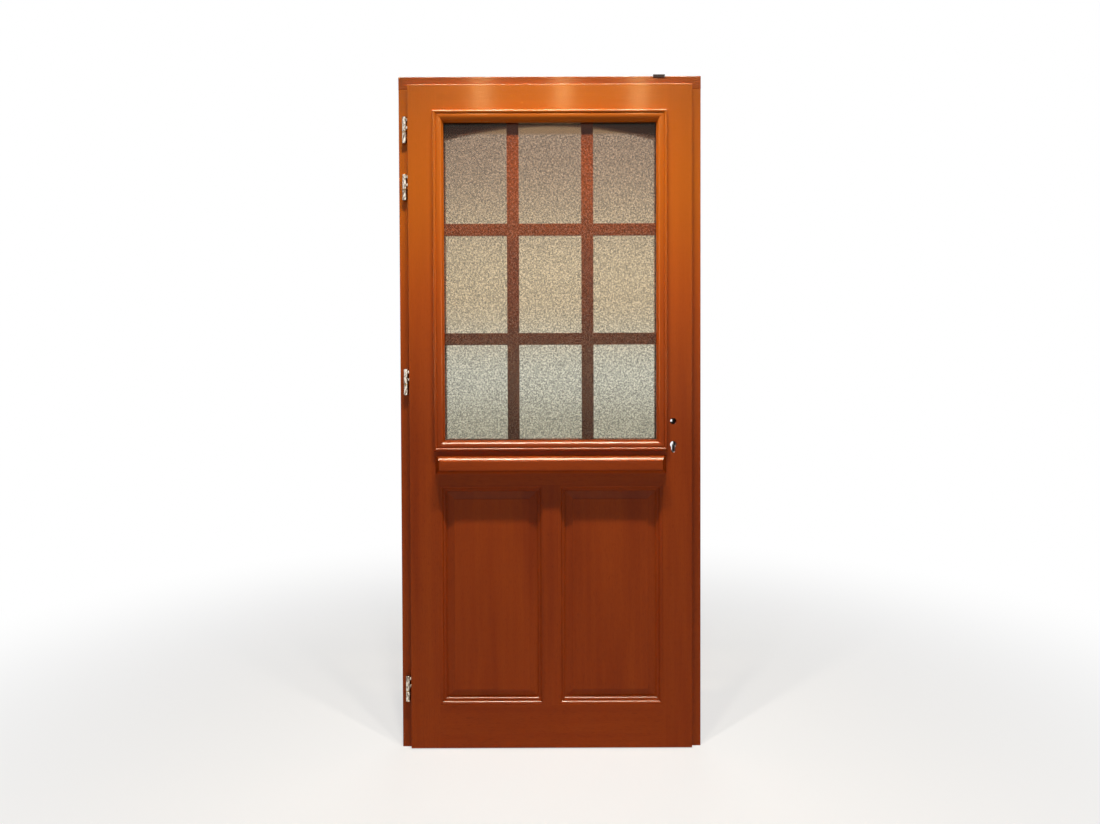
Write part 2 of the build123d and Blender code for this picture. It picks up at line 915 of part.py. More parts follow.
spacer_frame = rectangular_ring(
    glass_x - spacer_inset,
    glass_low + spacer_inset,
    glass_high - spacer_inset,
    spacer_width,
    inner_front,
    inner_back,
)
save(spacer_frame, "spacer_frame")

with BuildPart() as glazing_tapes:
    for face in (glass_front - tape_thickness, glass_back):
        add(
            rectangular_ring(
                glass_x, glass_low, glass_high, tape_width, face, face + tape_thickness
            ).part
        )
save(glazing_tapes, "glazing_tapes")

spacer_reach = glass_x - spacer_inset - spacer_width
spacer_low = glass_low + spacer_inset + spacer_width
spacer_high = glass_high - spacer_inset - spacer_width
bar_front = inner_front + bar_setback
bar_lap = bar_front + bar_thickness / 2
sight_x = opening_x + moulding_overlap - moulding_width
bar_x = (2 * sight_x - 2 * bar_width) / 6 + bar_width / 2
bar_heights = (sight_bottom + lower_bar_height, sight_bottom + lower_bar_height + bar_pitch)

with BuildPart() as glazing_bars_vertical:
    with BuildSketch(Plane.XZ.offset(-bar_front)):
        with Locations([(side * bar_x, (spacer_low + spacer_high) / 2) for side in (-1, 1)]):
            Rectangle(bar_width, spacer_high - spacer_low)
    extrude(amount=-bar_thickness)
    with BuildSketch(Plane.XZ.offset(-bar_lap)):
        with Locations([(0, height) for height in bar_heights]):
            Rectangle(2 * spacer_reach, bar_width)
    extrude(amount=-bar_thickness / 2, mode=Mode.SUBTRACT)
save(glazing_bars_vertical, "glazing_bars_vertical")

with BuildPart() as glazing_bars_horizontal:
    with BuildSketch(Plane.XZ.offset(-bar_front)):
        with Locations([(0, height) for height in bar_heights]):
            Rectangle(2 * spacer_reach, bar_width)
    extrude(amount=-bar_thickness)
    with BuildSketch(Plane.XZ.offset(-bar_front)):
        with Locations([(side * bar_x, (spacer_low + spacer_high) / 2) for side in (-1, 1)]):
            Rectangle(bar_width, spacer_high - spacer_low)
    extrude(amount=-bar_thickness / 2, mode=Mode.SUBTRACT)
save(glazing_bars_horizontal, "glazing_bars_horizontal")

unit_depth = glass_back - glass_front
unit_middle = (glass_front + glass_back) / 2

with BuildPart() as glazing_blocks:
    for side in (-1, 1):
        with Locations(
            (side * (glass_x - block_length), unit_middle, glazing_bottom + glass_edge_gap / 2)
        ):
            Box(block_length, unit_depth, glass_edge_gap)
        with Locations(
            (side * (glass_x + glass_edge_gap / 2), unit_middle, glass_low + block_length)
        ):
            Box(glass_edge_gap, unit_depth, block_length)
save(glazing_blocks, "glazing_blocks")


def rear_bead_outline():
    """A square bead with a hollow worked on its room-side inner edge."""
    depth = leaf_back - bead_front
    cove_end = (bead_width, depth - bead_cove_depth)
    Polyline(cove_end, (bead_width, 0), (0, 0), (0, depth), (bead_flat, depth))
    SagittaArc((bead_flat, depth), cove_end, -bead_cove_bulge)


springing_z = glazing_top - arch_springing
bead_left_foot = Vector(-opening_x, bead_front, glazing_bottom)
bead_right_foot = Vector(opening_x, bead_front, glazing_bottom)
bead_height = springing_z - glazing_bottom

rear_bead_bottom = mitred_bar(rear_bead_outline, bead_right_foot, Z, X * -1, 2 * opening_x)
save(rear_bead_bottom, "rear_bead_bottom")

rear_bead_left = mitred_bar(rear_bead_outline, bead_left_foot, X, Z, bead_height, last=False)
save(rear_bead_left, "rear_bead_left")

rear_bead_right = mitred_bar(
    rear_bead_outline,
    bead_right_foot + Z * bead_height,
    X * -1,
    Z * -1,
    bead_height,
    first=False,
)
save(rear_bead_right, "rear_bead_right")

with BuildPart() as rear_arch_head:
    with BuildSketch(Plane.XZ.offset(-leaf_back)):
        with BuildLine():
            arch_end = opening_x - bead_width
            Polyline(
                (-arch_end, springing_z),
                (-opening_x, springing_z),
                (-opening_x, glazing_top),
                (opening_x, glazing_top),
                (opening_x, springing_z),
                (arch_end, springing_z),
            )
            ThreePointArc(
                (arch_end, springing_z), (0, glazing_top - arch_crown), (-arch_end, springing_z)
            )
        make_face()
    extrude(amount=leaf_back - bead_front)
save(rear_arch_head, "rear_arch_head")


# Screw-in hinges: a leaf knuckle with two pins over a frame knuckle with one

def turned_knuckle(low, high):
    """A barrel with eased ends and a bore for the hinge pin."""
    with BuildPart() as knuckle:
        with BuildSketch(Plane(origin=(hinge_x, hinge_y, low), x_dir=X, z_dir=Z)):
            Circle(hinge_diameter / 2)
        extrude(amount=high - low)
        chamfer(knuckle.edges().filter_by(GeomType.CIRCLE), length=hinge_end_chamfer)
        with BuildSketch(Plane(origin=(hinge_x, hinge_y, low), x_dir=X, z_dir=Z)):
            Circle(hinge_pin_diameter / 2 + hinge_pin_clearance)
        extrude(amount=high - low - hinge_end_wall, mode=Mode.SUBTRACT)
    return knuckle


frame_knuckle_height = hinge_height - leaf_knuckle_height - hinge_washer_height - 2 * hinge_play
pin_reach = hinge_diameter / 2 - 1

for number, top in enumerate(hinge_tops, start=1):
    bottom = top - hinge_height
    frame_top = bottom + frame_knuckle_height
    leaf_low = top - leaf_knuckle_height

    with BuildPart() as hinge_frame_part:
        with BuildSketch(Plane(origin=(hinge_x, hinge_y, bottom), x_dir=X, z_dir=Z)):
            Circle(hinge_diameter / 2)
        extrude(amount=frame_knuckle_height)
        chamfer(hinge_frame_part.edges().filter_by(GeomType.CIRCLE), length=hinge_end_chamfer)
        pin_height = bottom + frame_pin_drop
        with BuildSketch(Plane(origin=(hinge_x, hinge_y, pin_height), x_dir=X, z_dir=Y)):
            Circle(frame_pin_diameter / 2)
        extrude(amount=frame_front - hinge_y + frame_pin_length)
        with BuildSketch(Plane(origin=(hinge_x, hinge_y, pin_height), x_dir=X, z_dir=Y)):
            Circle(hinge_collar_diameter / 2)
        extrude(amount=frame_front - hinge_y)
        with BuildSketch(Plane(origin=(hinge_x, hinge_y, frame_top), x_dir=X, z_dir=Z)):
            Circle(hinge_pin_diameter / 2 + hinge_pin_clearance)
        extrude(amount=-(frame_knuckle_height - hinge_end_wall), mode=Mode.SUBTRACT)
    save(hinge_frame_part, f"hinge_{number}_frame_part")

    with BuildPart() as hinge_leaf_part:
        add(turned_knuckle(leaf_low, top).part)
        for drop in leaf_pin_drops:
            pin_start = (hinge_x + pin_reach, hinge_y, top - drop)
            with BuildSketch(Plane(origin=pin_start, x_dir=Y, z_dir=X)):
                Circle(leaf_pin_diameter / 2)
            extrude(amount=-lip_x - hinge_x - pin_reach + leaf_pin_length)
            with BuildSketch(Plane(origin=pin_start, x_dir=Y, z_dir=X)):
                Circle(hinge_collar_diameter / 2)
            extrude(amount=-lip_x - hinge_x - pin_reach)
    save(hinge_leaf_part, f"hinge_{number}_leaf_part")

    with BuildPart() as hinge_pin:
        pin_low = bottom + hinge_end_wall
        with BuildSketch(Plane(origin=(hinge_x, hinge_y, pin_low), x_dir=X, z_dir=Z)):
            Circle(hinge_pin_diameter / 2)
        extrude(amount=top - hinge_end_wall - hinge_pin_end_gap - pin_low)
        chamfer(hinge_pin.edges().filter_by(GeomType.CIRCLE), length=hinge_pin_chamfer)
    save(hinge_pin, f"hinge_{number}_pin")

with BuildPart() as hinge_washers:
    for top in hinge_tops:
        washer_low = top - hinge_height + frame_knuckle_height + hinge_play
        with BuildSketch(Plane(origin=(hinge_x, hinge_y, washer_low), x_dir=X, z_dir=Z)):
            Circle(hinge_diameter / 2)
            Circle(hinge_pin_diameter / 2 + hinge_pin_clearance, mode=Mode.SUBTRACT)
        extrude(amount=hinge_washer_height)
save(hinge_washers, "hinge_washers")


# Mortice lock, without its handles and cylinder

wall = lock_case_wall
case_middle_x = (case_inner + faceplate_back) / 2
case_middle_z = (case_low + case_high) / 2
case_height = case_high - case_low


def case_openings():
    """The round for the follower's hub and the keyhole for the cylinder, about the spindle."""
    with Locations((0, spindle_height)):
        Circle(hub_diameter / 2 + hub_clearance)
    with Locations((0, cylinder_height)):
        cylinder_outline(0)


with BuildPart() as lock_case:
    with BuildSketch(Plane.XZ.offset(-case_front)):
        with Locations((case_middle_x, case_middle_z)):
            Rectangle(lock_case_depth, case_height)
    extrude(amount=wall - lock_case_thickness)
    with BuildSketch(Plane.XZ.offset(-case_front - wall)):
        with Locations((case_middle_x + wall / 2, case_middle_z)):
            Rectangle(lock_case_depth - wall, case_height - 2 * wall)
    extrude(amount=-lock_case_thickness, mode=Mode.SUBTRACT)
    with BuildSketch(case_plane):
        case_openings()
    extrude(amount=-lock_case_thickness, mode=Mode.SUBTRACT)
save(lock_case, "lock_case")

with BuildPart() as lock_cover:
    with BuildSketch(Plane.XZ.offset(-case_back)):
        with Locations((case_middle_x, case_middle_z)):
            Rectangle(lock_case_depth, case_height)
    extrude(amount=wall)
    with BuildSketch(case_plane):
        case_openings()
    extrude(amount=-lock_case_thickness, mode=Mode.SUBTRACT)
save(lock_cover, "lock_cover")

with BuildPart() as lock_faceplate:
    with BuildSketch(edge_plane):
        with Locations((0, faceplate_middle)):
            SlotOverall(faceplate_length, faceplate_width, rotation=90)
        with Locations((0, latch_z)):
            Rectangle(
                latch_thickness + 2 * bolt_window_gap,
                latch_height + 2 * bolt_window_gap,
                mode=Mode.SUBTRACT,
            )
        with Locations((0, bolt_z)):
            Rectangle(
                bolt_thickness + 2 * bolt_window_gap,
                bolt_height + 2 * bolt_window_gap,
                mode=Mode.SUBTRACT,
            )
        with Locations((0, cylinder_height)):
            Circle(cylinder_screw_hole / 2, mode=Mode.SUBTRACT)
    extrude(amount=-faceplate_thickness)
    with Locations([Plane(origin=(body_x, lock_y, height), z_dir=X) for height in screw_places]):
        CounterSinkHole(
            radius=screw_diameter / 2 + screw_clearance,
            counter_sink_radius=screw_head_diameter / 2 + screw_clearance,
            depth=faceplate_thickness,
            counter_sink_angle=screw_head_angle,
        )
save(lock_faceplate, "lock_faceplate")

lock_screws = countersunk_screws(body_x, screw_places, -1, faceplate_thickness)
save(lock_screws, "lock_screws")

with BuildPart() as follower:
    with BuildSketch(case_plane):
        with Locations((0, spindle_height)):
            Circle(hub_diameter / 2)
    extrude(amount=-lock_case_thickness)
    with BuildSketch(Plane(origin=(spindle_x, lock_y, spindle_height), x_dir=X, z_dir=Y * -1)):
        Circle(follower_diameter / 2)
        with Locations((0, follower_diameter / 4 + follower_nose / 2)):
            Rectangle(follower_diameter / 3, follower_diameter / 2 + follower_nose)
    extrude(amount=follower_thickness / 2, both=True)
    with BuildSketch(case_plane):
        with Locations((0, spindle_height)):
            Rectangle(spindle_square, spindle_square)
    extrude(amount=-lock_case_thickness, mode=Mode.SUBTRACT)
save(follower, "follower")

latch_nose = body_x + latch_throw

with BuildPart() as latch_bolt:
    with BuildSketch(Plane.XY.offset(latch_z - latch_height / 2)):
        with BuildLine():
            Polyline(
                (latch_nose - latch_length, lock_y - latch_thickness / 2),
                (latch_nose, lock_y - latch_thickness / 2),
                (latch_nose, lock_y - latch_thickness / 2 + latch_tip),
                (body_x, lock_y + latch_thickness / 2),
                (latch_nose - latch_length, lock_y + latch_thickness / 2),
                close=True,
            )
        make_face()
    extrude(amount=latch_height)
    tail_end = latch_nose - latch_length
    with Locations((tail_end + latch_tail_length / 2, lock_y, latch_z - latch_height / 2)):
        Box(
            latch_tail_length,
            latch_thickness,
            latch_height - latch_tail_height,
            align=(Align.CENTER, Align.CENTER, Align.MIN),
            mode=Mode.SUBTRACT,
        )
save(latch_bolt, "latch_bolt")

bolt_end = body_x - bolt_recess
dead_bolt = block(
    (bolt_end - bolt_length, lock_y - bolt_thickness / 2, bolt_z - bolt_height / 2),
    (bolt_end, lock_y + bolt_thickness / 2, bolt_z + bolt_height / 2),
)
save(dead_bolt, "dead_bolt")
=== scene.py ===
import json
import math

import bpy
from mathutils import Matrix, Vector


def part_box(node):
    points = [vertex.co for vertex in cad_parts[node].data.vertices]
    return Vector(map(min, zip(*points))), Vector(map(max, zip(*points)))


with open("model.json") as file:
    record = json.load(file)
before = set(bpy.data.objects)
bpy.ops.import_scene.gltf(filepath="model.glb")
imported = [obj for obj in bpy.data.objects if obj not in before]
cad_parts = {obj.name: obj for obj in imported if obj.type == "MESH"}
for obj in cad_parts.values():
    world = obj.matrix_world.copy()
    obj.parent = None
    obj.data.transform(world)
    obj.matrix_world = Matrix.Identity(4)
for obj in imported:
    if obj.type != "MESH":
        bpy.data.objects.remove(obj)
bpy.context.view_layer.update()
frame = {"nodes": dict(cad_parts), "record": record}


def linear(red, green, blue):
    """An eight-bit display colour as linear light."""

    def channel(value):
        value /= 255.0
        return value / 12.92 if value <= 0.04045 else ((value + 0.055) / 1.055) ** 2.4

    return (channel(red), channel(green), channel(blue), 1.0)


# Node graphs


class Graph:
    """The nodes of a material or a world, added one after another."""

    def __init__(self, owner, output):
        owner.use_nodes = True
        self.owner = owner
        self.tree = owner.node_tree
        self.tree.nodes.clear()
        self.output = self.node(output)

    def put(self, socket, value):
        if isinstance(value, bpy.types.NodeSocket):
            self.tree.links.new(value, socket)
        else:
            socket.default_value = value

    def node(self, kind, *values, **named):
        """A new node, with its first inputs given in order and any others by name."""
        node = self.tree.nodes.new("ShaderNode" + kind)
        for socket, value in zip(node.inputs, values):
            self.put(socket, value)
        for name, value in named.items():
            self.put(node.inputs[name.replace("_", " ")], value)
        return node

    def maths(self, operation, first, second=0.0):
        node = self.node("Math", first, second)
        node.operation = operation
        return node.outputs[0]

    def add(self, first, second):
        return self.maths("ADD", first, second)

    def subtract(self, first, second):
        return self.maths("SUBTRACT", first, second)

    def multiply(self, first, second):
        return self.maths("MULTIPLY", first, second)

    def split(self, vector):
        return self.node("SeparateXYZ", vector).outputs

    def join(self, x, y, z):
        return self.node("CombineXYZ", x, y, z).outputs[0]

    def noise(self, vector, cells, detail, roughness, distortion=0.0, shift=(0.0, 0.0, 0.0)):
        """Noise with this many cells to the metre along each axis."""
        mapped = self.node("Mapping", Vector=vector, Location=shift, Scale=cells)
        node = self.node(
            "TexNoise",
            Vector=mapped.outputs[0],
            Scale=1.0,
            Detail=detail,
            Roughness=roughness,
            Distortion=distortion,
        )
        return node.outputs["Fac"]

    def ramp(self, value, low, high, start=0.0, end=1.0):
        """From start to end, smoothly, as the value goes from low to high."""
        node = self.node("MapRange", value, low, high, start, end)
        node.interpolation_type = "SMOOTHSTEP"
        return node.outputs[0]

    def mix(self, factor, first, second, blend="MIX"):
        node = self.node("Mix", factor)
        node.data_type = "RGBA"
        node.blend_type = blend
        self.put(node.inputs[6], first)
        self.put(node.inputs[7], second)
        return node.outputs[2]

    def blend(self, factor, first, second):
        """One shader passing into another."""
        return self.node("MixShader", factor, first, second).outputs[0]

    def bump(self, height, strength, distance):
        node = self.node("Bump", Height=height, Strength=strength, Distance=distance)
        return node.outputs[0]

    def principled(self, **inputs):
        return self.node("BsdfPrincipled", **inputs).outputs[0]

    def diffuse(self, colour):
        return self.node("BsdfDiffuse", Color=colour).outputs[0]

    def finish(self, shader):
        self.put(self.output.inputs["Surface"], shader)
        return self.owner


class Surface(Graph):
    """A material whose patterns lie by the place on the piece, in metres."""

    def __init__(self, name):
        super().__init__(bpy.data.materials.new(name), "OutputMaterial")
        self.place = self.node("TexCoord").outputs["Object"]


def even(cells):
    return (cells, cells, cells)


def tinted(g, height, colour, steps):
    """A colour that passes into others, each between two heights."""
    for low, high, following in steps:
        colour = g.mix(g.ramp(height, low, high), colour, following)
    return colour


# Stained timber

STAIN_DARK = linear(125, 45, 10)
STAIN_MIDDLE = linear(144, 57, 13)
STAIN_LIGHT = linear(162, 70, 18)
# Painted light: the colours of the lit upper door
PAINTED_LIGHT_RED = linear(226, 108, 14)
PAINTED_LIGHT_GOLD = linear(206, 128, 14)
PORE = linear(74, 22, 6)

# Cells to the metre, across the grain twice and then along it
FIGURE_CELLS = (9.0, 9.0, 0.75)
RIBBON_CELLS = (55.0, 55.0, 1.6)
FIBRE_CELLS = (620.0, 620.0, 11.0)
STREAK_CELLS = (1500.0, 1500.0, 60.0)
SEED_SHIFT = (0.37, 0.21, 1.13)

# Painted light: the door turns redder and then lighter and more golden towards its top, where
# the lamps fall: heights and the share at full
PAINTED_LIGHT_RED_RISE = (0.85, 1.55, 0.30)
PAINTED_LIGHT_GOLD_RISE = (1.35, 1.80, 0.22)
# Painted shade: the head, set back behind the leaf, takes only part of the painted light
HEAD_PAINTED_LIGHT_SHARE = 0.35

COAT_WEIGHT = 0.16
COAT_ROUGHNESS = 0.17
GRAIN_RELIEF = 0.00025


def grain_axes(g, upright, mitred_box):
    """The place on a piece with its third axis along the grain."""
    x, y, z = g.split(g.place)
    rising = g.join(x, y, z)
    lying = g.join(z, y, x)
    if mitred_box is None:
        return rising if upright else lying
    low, high = mitred_box
    to_side = g.maths("MINIMUM", g.subtract(x, low[0]), g.subtract(high[0], x))
    to_end = g.maths("MINIMUM", g.subtract(z, low[2]), g.subtract(high[2], z))
    return g.mix(g.maths("LESS_THAN", to_side, to_end), lying, rising)


def timber(name, upright, seed, painted_light_share, mitred_box=None):
    """Semi-gloss stained timber; a mitred frame's grain turns at its corners."""
    g = Surface(name)
    height = g.split(g.place)[2]
    grain = grain_axes(g, upright, mitred_box)
    shift = tuple(seed * step for step in SEED_SHIFT)
    figure = g.noise(grain, FIGURE_CELLS, 3.0, 0.55, 0.6, shift)
    ribbon = g.noise(grain, RIBBON_CELLS, 2.0, 0.5, 0.0, shift)
    fibre = g.noise(grain, FIBRE_CELLS, 3.0, 0.6, 0.0, shift)
    streak = g.noise(grain, STREAK_CELLS, 1.0, 0.5, 0.0, shift)
    pores = g.ramp(streak, 0.60, 0.70)

    base = g.mix(g.ramp(figure, 0.32, 0.68), STAIN_DARK, STAIN_LIGHT)
    base = g.mix(0.6, base, STAIN_MIDDLE)
    base = g.mix(g.multiply(g.ramp(ribbon, 0.35, 0.7), 0.28), base, STAIN_LIGHT)
    base = g.mix(g.multiply(g.ramp(fibre, 0.4, 0.75), 0.30), base, STAIN_DARK)
    base = g.mix(g.multiply(pores, 0.45), base, PORE)
    # Painted light: lighter, redder and then more golden towards the top
    for (low, high, share), painted_light_tint in ((PAINTED_LIGHT_RED_RISE, PAINTED_LIGHT_RED), (PAINTED_LIGHT_GOLD_RISE, PAINTED_LIGHT_GOLD)):
        base = g.mix(g.ramp(height, low, high, 0.0, share * painted_light_share), base, painted_light_tint)

    relief = g.subtract(g.multiply(fibre, 0.5), g.multiply(pores, 0.6))
    shader = g.principled(
        Base_Color=base,
        Roughness=g.ramp(figure, 0.3, 0.7, 0.34, 0.42),
        Specular_IOR_Level=0.0,
        Coat_Weight=COAT_WEIGHT,
        Coat_Roughness=COAT_ROUGHNESS,
        Normal=g.bump(relief, 0.35, GRAIN_RELIEF),
    )
    return g.finish(shader)


# Glass

GLASS_IOR = 1.5
LIGHT_THROUGH = (0.86, 0.84, 0.80, 1.0)
SHADE_EDGE = (1.917, 1.926)
# Painted light and shade: the glass tint darkens towards the top, and the last step is a
# painted shadow under the top moulding
GLASS_FOOT = linear(173, 167, 150)
GLASS_PAINTED_LIGHT_TINTS = (
    (0.99, 1.16, linear(194, 190, 177)),
    (1.16, 1.42, linear(190, 171, 144)),
    (1.46, 1.90, linear(148, 125, 108)),
    (*SHADE_EDGE, linear(138, 108, 80)),
)
GLASS_SHEEN = (0.35, 0.33, 0.30, 1.0)
# Colour of the painted glints
PAINTED_GLINT = linear(228, 208, 186)
COARSE_CELLS = even(200.0)
FINE_CELLS = even(440.0)
GLASS_RELIEF = 0.0004


def sheet_of_glass(name, shader_of):
    """A pane whose shader lets the lamps through to what is behind it."""
    g = Surface(name)
    through = g.node("BsdfTransparent", Color=LIGHT_THROUGH)
    shadow_ray = g.node("LightPath").outputs["Is Shadow Ray"]
    return g.finish(g.blend(shadow_ray, shader_of(g), through.outputs[0]))


def ornamental(g):
    """Glass rolled with a close grain; a strip at the top is painted shade, darker and without
    the grain.
    """
    height = g.split(g.place)[2]
    colour = tinted(g, height, GLASS_FOOT, GLASS_PAINTED_LIGHT_TINTS)
    shaded = g.ramp(height, *SHADE_EDGE)
    open_light = g.subtract(1.0, shaded)
    coarse = g.noise(g.place, COARSE_CELLS, 1.0, 0.5)
    fine = g.noise(g.place, FINE_CELLS, 1.0, 0.5)
    grain = g.add(g.multiply(coarse, 0.6), g.multiply(fine, 0.4))
    # Painted light: a speckle of lamplight through the rolled glass, multiplied into its
    # colour and left out of the painted shade at the top
    painted_light_speckle = g.ramp(grain, 0.41, 0.59, 0.52, 1.48)
    painted_light_speckle = g.add(painted_light_speckle, g.multiply(shaded, g.subtract(1.0, painted_light_speckle)))
    body = g.principled(
        Base_Color=g.mix(1.0, colour, g.join(painted_light_speckle, painted_light_speckle, painted_light_speckle), "MULTIPLY"),
        Roughness=0.20,
        IOR=GLASS_IOR,
        Transmission_Weight=1.0,
        Specular_Tint=GLASS_SHEEN,
        Normal=g.bump(grain, g.multiply(open_light, 0.4), GLASS_RELIEF),
    )
    # Painted glints: pale diffuse spots on the grain, none in the painted shade
    painted_glints = g.multiply(open_light, g.ramp(grain, 0.50, 0.66, 0.0, 0.10))
    return g.blend(painted_glints, body, g.diffuse(PAINTED_GLINT))


def polished(g):
    mottle = g.noise(g.place, even(30.0), 1.0, 0.5)
    return g.principled(
        Base_Color=g.mix(mottle, linear(236, 241, 237), linear(240, 244, 241)),
        Roughness=0.02,
        IOR=GLASS_IOR,
        Transmission_Weight=1.0,
    )


# Metal, plastic, rubber and paint

CLOUD_CELLS = (210.0, 210.0, 90.0)
BAR_FOOT = linear(96, 48, 24)
# Painted light: the bars turn redder and lighter towards the top
BAR_PAINTED_LIGHT_TINTS = ((1.15, 1.50, linear(126, 58, 26)), (1.50, 1.88, linear(222, 122, 38)))
BAR_MOTTLE = linear(90, 40, 20)


def metal(name, colour, worn, roughness, brush):
    """Metal with fine brush marks, clouded with a second colour: wear, and on the hinges
    painted reflections.
    """
    g = Surface(name)
    lines = g.noise(g.place, brush, 2.0, 0.6)
    cloud = g.noise(g.place, CLOUD_CELLS, 3.0, 0.55)
    shader = g.principled(
        Base_Color=g.mix(g.ramp(cloud, 0.40, 0.60, 0.0, 0.9), colour, worn),
        Metallic=1.0,
        Roughness=g.ramp(lines, 0.3, 0.7, roughness - 0.06, roughness + 0.08),
        Normal=g.bump(lines, 0.15, 0.0001),
    )
    return g.finish(shader)


def matt(name, colour, second, roughness, cells):
    g = Surface(name)
    mottle = g.noise(g.place, even(cells), 3.0, 0.6)
    shader = g.principled(
        Base_Color=g.mix(g.ramp(mottle, 0.3, 0.7), colour, second),
        Roughness=g.ramp(mottle, 0.3, 0.7, roughness - 0.05, roughness + 0.05),
        Specular_IOR_Level=0.3,
        Normal=g.bump(mottle, 0.2, 0.0002),
    )
    return g.finish(shader)


def bar_paint(name):
    """Brown paint on the bars, with painted light: redder and lighter towards the top."""
    g = Surface(name)
    mottle = g.noise(g.place, even(260.0), 3.0, 0.6)
    colour = tinted(g, g.split(g.place)[2], BAR_FOOT, BAR_PAINTED_LIGHT_TINTS)
    shader = g.principled(
        Base_Color=g.mix(g.ramp(mottle, 0.3, 0.7, 0.0, 0.2), colour, BAR_MOTTLE),
        Roughness=0.45,
        Specular_IOR_Level=0.3,
    )
    return g.finish(shader)


# Name, colour, second colour (wear, and on the hinges painted reflections), roughness, brush
# marks to the metre along each axis
METALS = (
    ("mill_aluminium", (192, 192, 190), (184, 183, 180), 0.38, (4.0, 900.0, 900.0)),
    ("brass_washer", (196, 160, 92), (160, 122, 66), 0.30, (300.0, 300.0, 20.0)),
    ("satin_nickel", (206, 198, 186), (184, 176, 162), 0.26, (500.0, 500.0, 30.0)),
    # On the hinges the clouds of bright and dark are painted reflections
    ("worn_nickel", (232, 222, 206), (112, 94, 78), 0.22, (500.0, 500.0, 30.0)),
    # Darker than bare zinc: painted shade for the lock seen deep in its holes
    ("zinc_steel", (84, 78, 72), (54, 48, 43), 0.42, (60.0, 60.0, 700.0)),
)

# Name, colour, second colour, roughness, mottle to the metre
MATTS = (
    ("brown_rubber", (48, 34, 26), (62, 44, 33), 0.6, 400.0),
    ("block_plastic", (40, 40, 40), (56, 56, 55), 0.5, 300.0),
)

SHARED = {
    "textured_glass": sheet_of_glass("textured_glass", ornamental),
    "clear_glass": sheet_of_glass("clear_glass", polished),
    "brown_bar": bar_paint("brown_bar"),
}
for table, make in ((METALS, metal), (MATTS, matt)):
    for name, colour, second, *rest in table:
        SHARED[name] = make(name, linear(*colour), linear(*second), *rest)

FOUR_SIDED = (
    "panel_left_front_moulding",
    "panel_left_back_moulding",
    "panel_right_front_moulding",
    "panel_right_back_moulding",
)
# The lug has its own dark paint; the follower is painted dark as painted shade deep in the
# spindle hole
DARKENED = ("head_fixing_lug", "follower")
DARK = linear(58, 36, 26)
DARKER = linear(44, 28, 20)

varnished = bpy.data.collections.new("varnished")
for number, part in enumerate(frame["record"]["subparts"]):
    node = frame["nodes"][part["node"]]
    slot = part["material_slot"]
    if slot.startswith("stained_timber"):
        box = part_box(part["node"]) if part["node"] in FOUR_SIDED else None
        painted_light_share = HEAD_PAINTED_LIGHT_SHARE if part["node"] == "frame_head" else 1.0
        upright = slot.endswith("upright")
        material = timber("timber_" + part["node"], upright, number + 1, painted_light_share, box)
        varnished.objects.link(node)
    elif part["node"] in DARKENED:
        material = matt("dark_" + part["node"], DARK, DARKER, 0.5, 300.0)
    # Hinges: clouds of bright and dark, painted reflections
    elif part["node"].startswith("hinge") and slot == "satin_nickel":
        material = SHARED["worn_nickel"]
    else:
        material = SHARED[slot]
    node.data.materials.clear()
    node.data.materials.append(material)


# Floor and world

FLOOR_HALF = 30.0
FLOOR_COLOUR = (0.82, 0.81, 0.80, 1.0)
FLOOR_CLEARS = (0.7, 3.0, 0.6, 1.0)
AMBIENT = 0.08
WHITE = (1.0, 1.0, 1.0, 1.0)


def shows_background(g):
    """1 for the rays of the camera, of gloss and through glass, and 0 for those that light."""
    path = g.node("LightPath").outputs
    seen = g.maths("MAXIMUM", path["Is Camera Ray"], path["Is Glossy Ray"])
    return g.maths("MAXIMUM", seen, path["Is Transmission Ray"])


def floor_material():
    """A pale floor that keeps the door's shadow and turns white away from it."""
    g = Surface("pale_floor")
    x, y, _ = g.split(g.place)
    away = g.maths("SQRT", g.add(g.multiply(x, x), g.multiply(y, y)))
    white = g.multiply(shows_background(g), g.ramp(away, *FLOOR_CLEARS))
    glow = g.node("Emission", WHITE, 1.0)
    return g.finish(g.blend(white, g.diffuse(FLOOR_COLOUR), glow.outputs[0]))


corners = ((-1, -1), (1, -1), (1, 1), (-1, 1))
floor_mesh = bpy.data.meshes.new("floor")
points = [(x * FLOOR_HALF, y * FLOOR_HALF, 0.0) for x, y in corners]
floor_mesh.from_pydata(points, [], [(0, 1, 2, 3)])
floor = bpy.data.objects.new("floor", floor_mesh)
bpy.context.scene.collection.objects.link(floor)
floor_mesh.materials.append(floor_material())

sky = Graph(bpy.data.worlds.new("studio"), "OutputWorld")
strength = sky.ramp(shows_background(sky), 0.0, 1.0, AMBIENT, 1.0)
bpy.context.scene.world = sky.finish(sky.node("Background", WHITE, strength).outputs[0])


# Lamps

SPOT_ANGLE = math.radians(100.0)
SPOT_RADIUS = 0.045
SPOT_COLOUR = (1.0, 0.93, 0.82)
SPOT_OUT = -0.75
SPOT_HEIGHT = 3.0
SPOTS = ((-0.26, 116.0), (0.05, 78.0), (0.34, 98.0))

# Each spot's streak on the top rail
STREAK_OUTWARD = 1.06
STREAK_HEIGHT = 2.38
STREAK_AIM = 2.1
STREAK_SIZE = (0.05, 0.36)
STREAK_RADIANCE = 52.0
STREAK_COLOUR = (1.0, 0.84, 0.36)

SIDE_X = 1.6
SIDE_COLOUR = (1.0, 0.66, 0.34)


def lamp(name, kind, place, target, watts, colour, **settings):
    data = bpy.data.lights.new(name, kind)
    data.energy = watts
    data.color = colour
    for key, value in settings.items():
        setattr(data, key, value)
    thing = bpy.data.objects.new(name, data)
    bpy.context.scene.collection.objects.link(thing)
    thing.location = place
    direction = Vector(target) - thing.location
    thing.rotation_euler = direction.to_track_quat("-Z", "Y").to_euler()
    return thing


